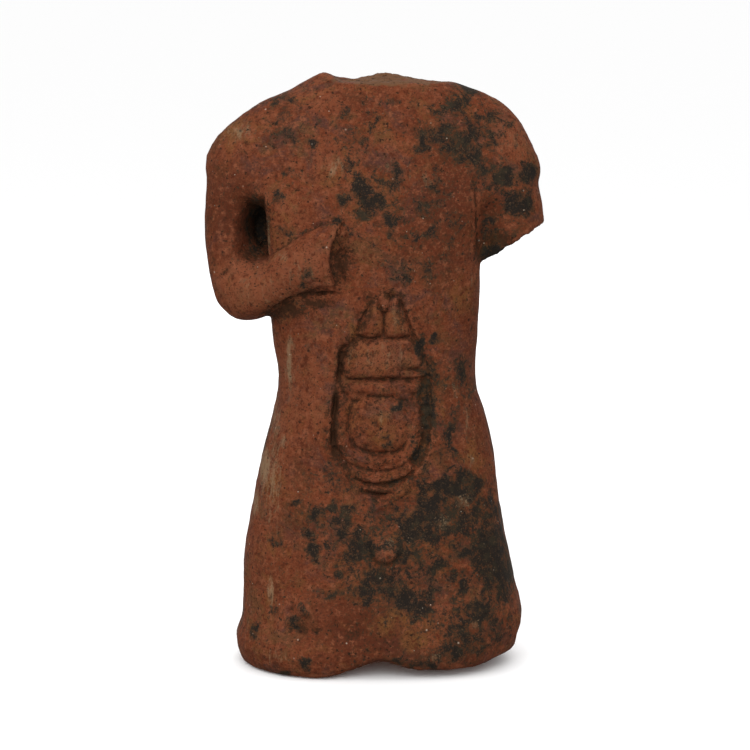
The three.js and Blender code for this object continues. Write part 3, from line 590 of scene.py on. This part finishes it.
def regain(skin, tree):
    """Moves the smoothed skin back to the solid's form, in slow waves that leave corners soft."""
    normals = skin.normals()
    short = np.zeros((len(skin.co), 1))
    for i, point in enumerate(skin.co):
        spot = np.array(tree.find_nearest(Vector(point * MM))[0]) / MM
        short[i] = (spot - point) @ normals[i]
    for _ in range(SKIN.regain):
        short = skin.mean(short)
    skin.co += normals * short


def fill_crease(skin):
    """Smooths the crease between the chest and the stump down to a shallow valley."""
    away = oval_distance(skin.flat, CREASE)
    weight = CREASE.pull * smoothstep(away, *CREASE.fade) * (skin.co[:, 1] < CREASE.front)
    skin.co = skin.melted(CREASE.rounds, weight[:, None])


def pull_edges(skin):
    """Pulls the stump's broken edge and the elbow to the outline of the figure."""
    x = skin.co[:, 0]
    height = stump_height(skin.co)
    broken = smoothstep(height, *BREAK_EDGE.above) * smoothstep(height, *BREAK_EDGE.below)
    broken *= x > BREAK_EDGE.lift[0][0]
    away = oval_distance(skin.flat, ELBOW)
    skin.co[:, 2] += broken * np.interp(x, *np.transpose(BREAK_EDGE.lift))
    skin.co[:, 2] -= ELBOW.drop * dome(away)


def deepen_pocket(skin):
    """Cuts the pocket: a soft slope from the arm, a crisp wall at the chest, and earth in its foot."""
    x, y, z = skin.co.T
    off_wall = POCKET.wall - POCKET.lean * z - x
    away = oval_distance(skin.flat, SLOPE)
    weight = SLOPE.pull * smoothstep(away, *SLOPE.fade) * smoothstep(off_wall, *SLOPE.off_wall)
    weight *= y < SLOPE.front
    skin.co = skin.melted(SLOPE.rounds, weight[:, None])
    near = np.where(facing_zone(skin.co, skin.normals(), POCKET_ZONE))[0]
    x, y, z = skin.co[near].T
    off_wall = POCKET.wall - POCKET.lean * z - x
    over_foot = z - np.interp(x, *np.transpose(POCKET.foot))
    inside = smoothstep(off_wall, *POCKET.at_wall) * smoothstep(over_foot, *POCKET.at_foot)
    inside *= smoothstep(z, *POCKET.at_top)
    share = np.clip(1 - off_wall / np.interp(z, *np.transpose(POCKET.width)), 0, 1)
    floor = np.minimum(y + POCKET.deep * share ** POCKET.curve, POCKET.back)
    floor -= POCKET.soil * smoothstep(over_foot, *POCKET.at_soil)
    skin.co[near, 1] = y + inside * np.maximum(floor - y, 0)


def set_arm_back(skin):
    """Sets the upper arm back behind the rim of the forearm."""
    normals = skin.normals()
    x, y, z = skin.co.T
    over = z - np.interp(x, *np.transpose(RIM.path))
    share = smoothstep(over, *RIM.step) * smoothstep(over, *RIM.fade)
    ends = smoothstep(x, *RIM.left) * smoothstep(x, *RIM.right)
    share *= ends * smoothstep(-normals[:, 1], *RIM.facing)
    skin.co -= normals * (RIM.back * share)[:, None]


def raise_lumps(skin):
    """Small lumps and the fold under the opening, on the side that faces the viewer."""
    normals = skin.normals()
    zone = np.where((normals[:, 1] < LUMP_SIDE.facing) & (skin.co[:, 1] < LUMP_SIDE.y))[0]
    spots = skin.flat[zone]
    height = np.zeros(len(zone))
    for x, z, radius, lift in LUMPS:
        away = np.linalg.norm(spots - (x, z), axis=1) / radius
        height = np.maximum(height, lift * dome(away))
    height *= LUMP_GRAIN.mean + waves(skin.co[zone], LUMP_GRAIN.waves)
    apart, along = line_distance(spots, rounded(FOLD.path, False))
    ends = smoothstep(np.minimum(along, 1 - along), *FOLD.ends)
    height = np.maximum(height, FOLD.height * ends * np.clip(1 - (apart / FOLD.half) ** 2, 0, 1))
    skin.co[zone] += normals[zone] * height[:, None]
    lumpy = np.zeros(len(skin.co))
    lumpy[zone] = smoothstep(height, *LUMP_GRAIN.edge)
    skin.smooth(LUMP_GRAIN.worn, lumpy)


def belly_surface(co, normals, away):
    """Depth of the belly as it would be without the opening, as a smooth fit to the skin round it."""
    spots = co[:, [0, 2]]
    hand_x, hand_z = FIT.hand
    used = facing_zone(co, normals, FIT_ZONE) & (away < FIT.off)
    used &= ~((spots[:, 0] < hand_x) & (spots[:, 1] > hand_z))

    def terms(spots):
        u, v = ((spots - FIT.middle) / FIT.half).T
        powers = [(i, j) for i in range(FIT.powers) for j in range(FIT.powers - i)]
        return np.stack([u ** i * v ** j for i, j in powers], axis=1)

    fit, *_ = np.linalg.lstsq(terms(spots[used]), co[used, 1], rcond=None)
    return terms(spots) @ fit


def carve_belly(skin):
    """Sets the organs into the belly as low relief."""
    normals = skin.normals()
    flat = skin.flat
    away = np.full(len(flat), HOLLOW.far)
    near = np.where(facing_zone(skin.co, normals, BELLY_ZONE))[0]
    away[near] = inside_distance(flat[near], OPENING)
    base = belly_surface(skin.co, normals, away)
    zone = np.where(away > HOLLOW.reach)[0]
    spots = flat[zone]
    height = -HOLLOW.depth * smoothstep(away[zone], 0, HOLLOW.edge)
    floor = height.copy()
    for outline, top, edge in ORGANS:
        share = np.clip(inside_distance(spots, outline) / edge, 0, 1)
        raised = floor + (top - floor) * np.sqrt(1 - (1 - share) ** 2)
        height = np.where(share > 0, join(height, raised, HOLLOW.join), height)
    for path, half, top in LOOPS:
        apart, along = line_distance(spots, rounded(path, False))
        ends = smoothstep(np.minimum(along, 1 - along), *LOOP_ENDS)
        raised = floor + (top - floor) * np.sqrt(np.clip(1 - (apart / half) ** 2, 0, 1)) * ends
        height = np.where(apart < half, join(height, raised, HOLLOW.join), height)
    deep = np.column_stack([spots, np.zeros(len(spots))])
    apart, _ = line_distance(spots, rounded(CHANNEL.path, False))
    apart += waves(deep, CHANNEL.edge)
    lumps = waves(deep, CHANNEL.lumps) - CHANNEL.depth
    height += lumps * smoothstep(apart, CHANNEL.half, CHANNEL.inner)
    height += waves(deep, RELIEF_GRAIN)
    cuts = cut_depth(spots, CUTS, BELLY_SEED)
    height -= cuts
    patchy = np.clip(PATCHY.mean + waves(deep, PATCHY.waves), PATCHY.least, 1)
    # Painted shade along the opening's rim, darker on its floor, and earth with painted shade in cut lines
    # and the channel.
    rim = SHADE.rim * np.exp(-(away[zone] / SHADE.width) ** 2)
    rim += SHADE.floor * smoothstep(away[zone], *SHADE.floor_edge)
    lines = np.maximum(smoothstep(cuts, *SHADE.cuts), smoothstep(apart, *SHADE.channel))
    skin.soil[zone] = np.maximum(patchy * lines, rim * (SHADE.least + patchy))
    blend = smoothstep(away[zone], *HOLLOW.blend)
    skin.co[zone, 1] = skin.co[zone, 1] * (1 - blend) + (base[zone] - height) * blend
    skin.smooth(RELIEF_WEAR.rounds, smoothstep(away, *RELIEF_WEAR.edge))


def carve_lines(skin, cuts, side):
    """Presses cut lines into the part of the skin that faces the viewer, with earth and painted shade in
    them.
    """
    normals = skin.normals()
    wanted = (normals[:, 1] < LINES.facing) & (skin.co[:, 0] < side.x) & (skin.co[:, 1] < side.y)
    zone = np.where(wanted)[0]
    depth = cut_depth(skin.flat[zone], cuts, side.seed)
    skin.co[zone] -= normals[zone] * depth[:, None]
    skin.soil[zone] = np.maximum(skin.soil[zone], LINES.soil * smoothstep(depth, *LINES.soiled))


def break_shares(skin):
    """How far each vertex belongs to the broken neck and to the broken arm."""
    z = skin.co[:, 2]
    uneven = waves(skin.co, BREAK_WAVER)
    low = NECK_BREAK.z
    neck = smoothstep(z + NECK_BREAK.waver * uneven, low, low + NECK_BREAK.fade)
    away = oval_distance(skin.co[:, :2], NECK_BREAK)
    neck *= smoothstep(away + NECK_BREAK.rim_waver * uneven, *NECK_BREAK.rim)
    stump = smoothstep(stump_height(skin.co), *STUMP_BREAK.fade)
    stump *= smoothstep(skin.co[:, 0], *STUMP_BREAK.x) * (z > STUMP_BREAK.z)
    return neck, stump


def roughen(skin, coarse):
    """Unevenness of the clay, rough breaks and pits; the first vertices are the evenly spread coarse ones."""
    normals = skin.normals()
    calm = 1 - CALM.share * smoothstep(skin.co[:, 2], *CALM.heights)
    for wave in WAVES:
        skin.co += normals * (calm * waves(skin.co, [wave]))[:, None]
    neck, stump = break_shares(skin)
    for share, part in ((neck, NECK_BREAK), (stump, STUMP_BREAK)):
        skin.co += normals * (share * (waves(skin.co, part.grain) - part.sink))[:, None]
    earth = marks(skin.flat, normals[:, 1] < 0, EARTH_AND_SHADE_FRONT)
    skin.co += normals * (earth * waves(skin.co, CRUMBS))[:, None]
    chance = np.random.default_rng(PITS.seed)
    places = skin.co[chance.choice(coarse, PITS.count, replace=False)]
    sizes = PITS.small + (PITS.large - PITS.small) * chance.random(PITS.count) ** 3
    for place, size in zip(places, sizes):
        near = np.where((np.abs(skin.co - place) < size).all(axis=1))[0]
        away = np.linalg.norm(skin.co[near] - place, axis=1) / size
        skin.co[near] -= normals[near] * (PITS.depth * size * np.clip(1 - away ** 2, 0, 1))[:, None]
    return neck, stump


def marks(points, facing, rows):
    """Strength of round marks at points of a plane, where the skin faces that way."""
    found = np.zeros(len(points))
    for across, up, wide, tall, strength in rows:
        away = ((points[:, 0] - across) / wide) ** 2 + ((points[:, 1] - up) / tall) ** 2
        found = np.maximum(found, strength * np.exp(-MARK_FALL * away))
    return found * facing


def paint(skin, neck, stump):
    """Stores how much of each deposit, and of painted shade and highlight, lies where, for the material to
    read.
    """
    normals = skin.normals()
    front = smoothstep(-normals[:, 1], *FACING.front)
    front_wide = smoothstep(-normals[:, 1], *FACING.wide)
    back = smoothstep(normals[:, 1], *FACING.front)
    side = smoothstep(np.abs(normals[:, 0]), *FACING.side)
    wander = np.column_stack([waves(skin.co, [wave]) for wave in WANDER])
    straight = skin.flat
    flat = straight + wander
    edge_on = skin.co[:, [1, 2]] + wander
    filled = skin.melted(CAVITY.rounds, CAVITY.pull)
    cavity = ((filled - skin.co) * normals).sum(axis=1)
    # Soot, with painted shadow in the pocket and under the stump.
    soot_and_shade = np.maximum.reduce([marks(flat, front_wide, SOOT_AND_SHADE_FRONT), marks(flat, back, SOOT_BACK),
                              marks(edge_on, side * (1 - front), SOOT_SIDE)])
    layers = {"soot_and_shade": soot_and_shade,
              "pale": marks(straight, front_wide, PALE_FRONT),
              "ochre": marks(flat, front, OCHRE_FRONT),
              # Darker-fired clay, with painted shade over the forearm's rim and in the armpit.
              "deep": marks(flat, front_wide, DEEP_AND_SHADE_FRONT),
              # Earth and painted shade: darker in hollows, in the opening and cut lines, and at the earth
              # marks.
              "dirt_and_shade": np.maximum.reduce([CAVITY.soil * smoothstep(cavity, *CAVITY.depths), skin.soil,
                                         marks(straight + wander / 2, front_wide, EARTH_AND_SHADE_FRONT)]),
              # Paler on ridges and rubbed places, with a painted highlight on the forearm's rim.
              "worn": np.maximum(smoothstep(-cavity, *CAVITY.depths), marks(flat, front_wide, WORN_AND_HIGHLIGHT_FRONT)),
              "broken": np.maximum(neck, stump * (1 - front))}
    for name, values in layers.items():
        layer = skin.mesh.attributes.new(name, "FLOAT", "POINT")
        layer.data.foreach_set("value", np.clip(values, 0, 1).astype(np.float32))


def build_torso(node):
    """The clay figure in place of the solid, with its relief and its layers of deposit and painted shade."""
    piece, tree, sharp = even_skin(node)
    skin = Skin(piece.data)
    coarse = len(skin.co)
    lip = LIP.share + (1 - LIP.share) * smoothstep(skin.co[:, 2], LIP.low, LIP.high)
    skin.smooth(SKIN.smooth, lip * (1 - SHARP.hold * crisp_share(skin.co, sharp)))
    regain(skin, tree)
    skin.store()
    refine(piece.data, lambda at, normal: normal.y < FRONT_SIDE)
    skin = Skin(piece.data)
    skin.smooth(SKIN.touch_up, 1 - SHARP.hold * crisp_share(skin.co, sharp))
    skin.store()
    refine(piece.data, lambda at, normal: normal.y < RELIEF_ZONE.facing and in_zone(at, RELIEF_ZONE)
           or normal.y < ARM_ZONE.facing and in_zone(at, ARM_ZONE))
    skin = Skin(piece.data)
    crisp = crisp_share(skin.co, sharp)
    skin.smooth(SKIN.touch_up, 1 - SHARP.hold_last * crisp)
    for i in np.where(crisp > SHARP.least)[0]:
        spot = tree.find_nearest(Vector(skin.co[i] * MM))[0]
        skin.co[i] += crisp[i] * (np.array(spot) / MM - skin.co[i])
    fill_crease(skin)
    pull_edges(skin)
    deepen_pocket(skin)
    skin.smooth(SKIN.last)
    set_arm_back(skin)
    carve_belly(skin)
    raise_lumps(skin)
    carve_lines(skin, HAND_CUTS, HAND_SIDE)
    carve_lines(skin, DRESS_CUTS, DRESS_SIDE)
    neck, stump = roughen(skin, coarse)
    low, high = np.array(cad_box) / MM
    skin.co = np.clip(skin.co, low, high)
    paint(skin, neck, stump)
    skin.store()
    piece.data.shade_smooth()
    return piece


class Nodes:
    """Short calls for the nodes of one material."""

    def __init__(self, tree):
        self.tree = tree
        self.place = tree.nodes.new("ShaderNodeTexCoord").outputs["Object"]

    def feed(self, made, inputs):
        """Sets or links the given inputs of a node, and gives its outputs."""
        for name, value in inputs.items():
            if isinstance(value, bpy.types.NodeSocket):
                self.tree.links.new(value, made.inputs[name])
            else:
                made.inputs[name].default_value = value
        return made.outputs

    def add(self, kind, inputs):
        return self.feed(self.tree.nodes.new(kind), inputs)

    def noise(self, size, detail=3, rough=0.6, warp=0.0, stretch=None):
        place = self.place
        if stretch:
            place = self.add("ShaderNodeMapping", {"Vector": place, "Scale": stretch})["Vector"]
        return self.add("ShaderNodeTexNoise", {"Vector": place, "Scale": 1 / (size * MM), "Detail": detail,
                                               "Roughness": rough, "Distortion": warp})["Fac"]

    def layer(self, name):
        made = self.tree.nodes.new("ShaderNodeAttribute")
        made.attribute_name = name
        return made.outputs["Fac"]

    def math(self, kind, *values):
        made = self.tree.nodes.new("ShaderNodeMath")
        made.operation = kind
        return self.feed(made, dict(enumerate(values)))[0]

    def mean(self, first, second):
        return self.math("MULTIPLY", self.math("ADD", first, second), 0.5)

    def ramp(self, value, low, high, start=0.0, end=1.0):
        made = self.tree.nodes.new("ShaderNodeMapRange")
        made.interpolation_type = "SMOOTHSTEP"
        return self.feed(made, {"Value": value, "From Min": low, "From Max": high, "To Min": start,
                                "To Max": end})["Result"]

    def mix(self, share, under, over):
        """One colour over another; a mix node has its colours at inputs 6 and 7 and at output 2."""
        made = self.tree.nodes.new("ShaderNodeMix")
        made.data_type = "RGBA"
        return self.feed(made, {0: share, 6: under, 7: over})[2]

    def edged(self, layer, grain, strength, low, high):
        """A layer with the broken edge that the grain gives it."""
        swing = self.math("MULTIPLY", self.math("SUBTRACT", grain, 0.5), strength)
        return self.ramp(self.math("ADD", self.layer(layer), swing), low, high)

    def tint(self, under, grain, low, high, share, tone):
        """Lays a tone over the colour where the grain passes from low to high."""
        return self.mix(self.ramp(grain, low, high, 0, share), under, tone)

    def deposit(self, under, layer, grain, strength, low, high, share, tone):
        """Lays a deposit, or painted shade or highlight, over the colour where the layer says so, with a
        broken edge.
        """
        cover = self.math("MULTIPLY", self.edged(layer, grain, strength, low, high), share)
        return self.mix(cover, under, tone)

    def dots(self, size, radius, share):
        """Round dots in some of the cells of the given size."""
        cell = self.add("ShaderNodeTexVoronoi", {"Vector": self.place, "Scale": 1 / (size * MM)})
        chance = self.add("ShaderNodeSeparateColor", {0: cell["Color"]})
        chosen = self.math("LESS_THAN", chance[0], share)
        wide = self.math("MULTIPLY_ADD", chance[1], radius, radius * DOT.least)
        inside = self.ramp(self.math("SUBTRACT", cell["Distance"], wide), DOT.edge, -DOT.edge)
        return self.math("MULTIPLY", inside, chosen)


def fired_clay():
    """Unglazed clay with its grain, pits, dark deposit, dust and earth, and painted shade and highlight."""
    material = bpy.data.materials.new("fired_clay")
    material.use_nodes = True
    shader = material.node_tree.nodes["Principled BSDF"]
    n = Nodes(material.node_tree)

    slow = n.noise(30, 3, 0.55)
    patch = n.noise(7, 5, 0.65)
    stain = n.noise(11, 7, 0.7)
    cloud = n.noise(16, 6, 0.72, 0.6)
    mottle = n.noise(2.4, 4, 0.65)
    fine = n.noise(0.9, 3, 0.7)
    lace = n.noise(5, 9, 0.72, 0.7)
    speckle = n.noise(1.5, 5, 0.75)
    wiped = n.noise(1.1, 3, 0.6, 0.0, (0.22, 0.22, 1))
    grit = n.mean(lace, speckle)
    crumb = n.mean(fine, speckle)

    colour = n.mix(n.ramp(slow, 0.35, 0.65), CLAY_DEEP, CLAY_PALE)
    colour = n.mix(n.ramp(patch, 0.3, 0.7, 0.5, 0.95), colour, CLAY)
    colour = n.tint(colour, cloud, 0.5, 0.64, 0.8, DUSK)
    colour = n.tint(colour, cloud, 0.47, 0.33, 0.55, OCHRE)
    colour = n.tint(colour, stain, 0.51, 0.66, 0.65, OLIVE)
    colour = n.tint(colour, stain, 0.45, 0.32, 0.65, STAIN)
    colour = n.tint(colour, wiped, 0.5, 0.72, 0.4, CLAY_PALE)
    # Darker-fired clay, and painted shade over the forearm's rim and in the armpit.
    colour = n.deposit(colour, "deep", stain, 1.4, 0.15, 0.9, 0.8, CLAY_DEEP)
    # Rubbed clay, and the painted highlight on the forearm's rim.
    colour = n.deposit(colour, "worn", grit, 1.6, 0.1, 1.0, 0.6, CLAY_PALE)
    colour = n.deposit(colour, "ochre", patch, 1.4, 0.25, 0.85, 0.7, OCHRE)
    colour = n.tint(colour, mottle, 0.53, 0.68, 0.8, CLAY_PALE)
    colour = n.tint(colour, mottle, 0.47, 0.33, 0.9, CLAY_DEEP)
    colour = n.tint(colour, speckle, 0.56, 0.7, 0.6, OLIVE)
    colour = n.tint(colour, speckle, 0.42, 0.3, 0.75, STAIN)
    colour = n.tint(colour, fine, 0.53, 0.7, 0.7, CLAY_PALE)
    colour = n.tint(colour, fine, 0.46, 0.32, 0.85, STAIN)
    colour = n.deposit(colour, "broken", grit, 2.4, 0.3, 0.8, 0.75, BROKEN)
    streaks = n.mean(n.noise(1.6, 4, 0.65, 0.0, (1, 1, 0.2)), grit)
    colour = n.deposit(colour, "pale", streaks, 3.2, 0.3, 0.95, 0.62, LIME)
    # Earth and painted shade from hollows, cut lines and the earth marks.
    colour = n.deposit(colour, "dirt_and_shade", crumb, 4.0, 0.26, 0.78, 0.9, EARTH_AND_SHADE)
    # Soot and its painted shadow, first as grime, then in its own near-black tone.
    colour = n.deposit(colour, "soot_and_shade", grit, 3.0, 0.1, 0.75, 0.8, GRIME)
    tone = n.mix(n.ramp(patch, 0.48, 0.64), SOOT_AND_SHADOW, SOOT_MOSS)
    # No dust where the earth-and-shade layer is strong, so the painted shadow in the pocket stays black.
    dust = n.math("MULTIPLY", n.ramp(crumb, 0.54, 0.61, 0, 0.75), n.ramp(n.layer("dirt_and_shade"), 0.9, 0.5))
    tone = n.mix(dust, tone, SOOT_DUST)
    flakes = n.math("ADD", n.math("MULTIPLY", lace, 0.45), n.math("MULTIPLY", crumb, 0.55))
    colour = n.deposit(colour, "soot_and_shade", flakes, 6.5, 0.42, 0.74, 0.93, tone)
    film = n.math("MULTIPLY", n.edged("pale", crumb, 2.6, 0.5, 1.0), n.ramp(fine, 0.45, 0.6, 0, 0.6))
    colour = n.mix(film, colour, LIME)
    # Pits and nicks: a dip in the bump, and painted shade in their colour.
    pits = n.dots(3.4, 0.13, 0.35)
    nicks = n.ramp(n.noise(1.5, 2, 0.5), 0.66, 0.72)
    holes = n.math("MAXIMUM", pits, nicks)
    colour = n.mix(n.math("MULTIPLY", holes, 0.75), colour, PIT_SHADE)
    grains = n.math("MAXIMUM", n.dots(6.5, 0.03, 0.4), n.dots(3.1, 0.05, 0.16))
    colour = n.mix(n.math("MULTIPLY", grains, 0.85), colour, GRAIN)

    relief = n.math("MULTIPLY_ADD", mottle, 1.0, n.math("MULTIPLY", fine, 0.5))
    relief = n.math("SUBTRACT", relief, n.math("MULTIPLY", holes, 0.8))
    bump = n.add("ShaderNodeBump", {"Strength": 0.7, "Distance": 0.35 * MM, "Height": relief})
    rough = n.ramp(patch, 0.3, 0.7, 0.82, 0.96)
    n.feed(shader, {"Base Color": colour, "Roughness": rough, "Normal": bump["Normal"],
                    "Specular IOR Level": 0.06})
    return material


def plain_floor():
    """A wide pale floor that fills the picture behind the figure."""
    half = FLOOR.half
    mesh = bpy.data.meshes.new("floor")
    corners = [(-half, -half, 0), (half, -half, 0), (half, half, 0), (-half, half, 0)]
    mesh.from_pydata(corners, [], [(0, 1, 2, 3)])
    floor = bpy.data.objects.new("floor", mesh)
    bpy.context.scene.collection.objects.link(floor)
    floor.visible_diffuse = False
    material = bpy.data.materials.new("floor_paper")
    material.use_nodes = True
    shader = material.node_tree.nodes["Principled BSDF"]
    shader.inputs["Base Color"].default_value = FLOOR.colour
    shader.inputs["Roughness"].default_value = 1
    shader.inputs["Specular IOR Level"].default_value = 0
    mesh.materials.append(material)


def soft_sky():
    """Even studio light, strongest from above."""
    world = bpy.data.worlds.new("studio")
    bpy.context.scene.world = world
    world.use_nodes = True
    n = Nodes(world.node_tree)
    height = n.add("ShaderNodeSeparateXYZ", {0: n.place.node.outputs["Generated"]})["Z"]
    below = n.ramp(height, *SKY.dim, SKY.below, SKY.level)
    above = n.ramp(height, *SKY.bright, 0, SKY.top - SKY.level)
    light = n.tree.nodes["Background"]
    n.feed(light, {"Color": (1, 1, 1, 1), "Strength": n.math("ADD", below, above)})


def place(name, data, at, target):
    """Puts a lamp or the camera at a point and turns it to a height on the figure's axis."""
    made = bpy.data.objects.new(name, data)
    made.location = Vector(at) * MM
    aim = Vector((0, 0, target * MM)) - made.location
    made.rotation_euler = aim.to_track_quat("-Z", "Y").to_euler()
    bpy.context.scene.collection.objects.link(made)
    return made


def soft_light(name, facts):
    """A square studio lamp turned to the figure's middle."""
    lamp = bpy.data.lights.new(name, "AREA")
    lamp.size = facts.size * MM
    lamp.energy = facts.power
    place(name, lamp, facts.at, CAMERA.target)


def photo_camera():
    """The camera of the photograph."""
    lens = bpy.data.cameras.new("photo")
    lens.lens = CAMERA.lens
    lens.sensor_width = CAMERA.sensor
    lift = math.radians(CAMERA.elevation)
    at = (0, -CAMERA.distance * math.cos(lift), CAMERA.target + CAMERA.distance * math.sin(lift))
    bpy.context.scene.camera = place("photo", lens, at, CAMERA.aim)


photo_camera()
plain_floor()
soft_sky()
soft_light("key", KEY)
soft_light("fill", FILL)
soft_light("back", BACK)
bpy.context.scene.view_settings.view_transform = "Standard"

torso = build_torso(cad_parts["torso"])
torso.data.materials.clear()
torso.data.materials.append(fired_clay())
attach(torso, "root")
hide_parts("torso")
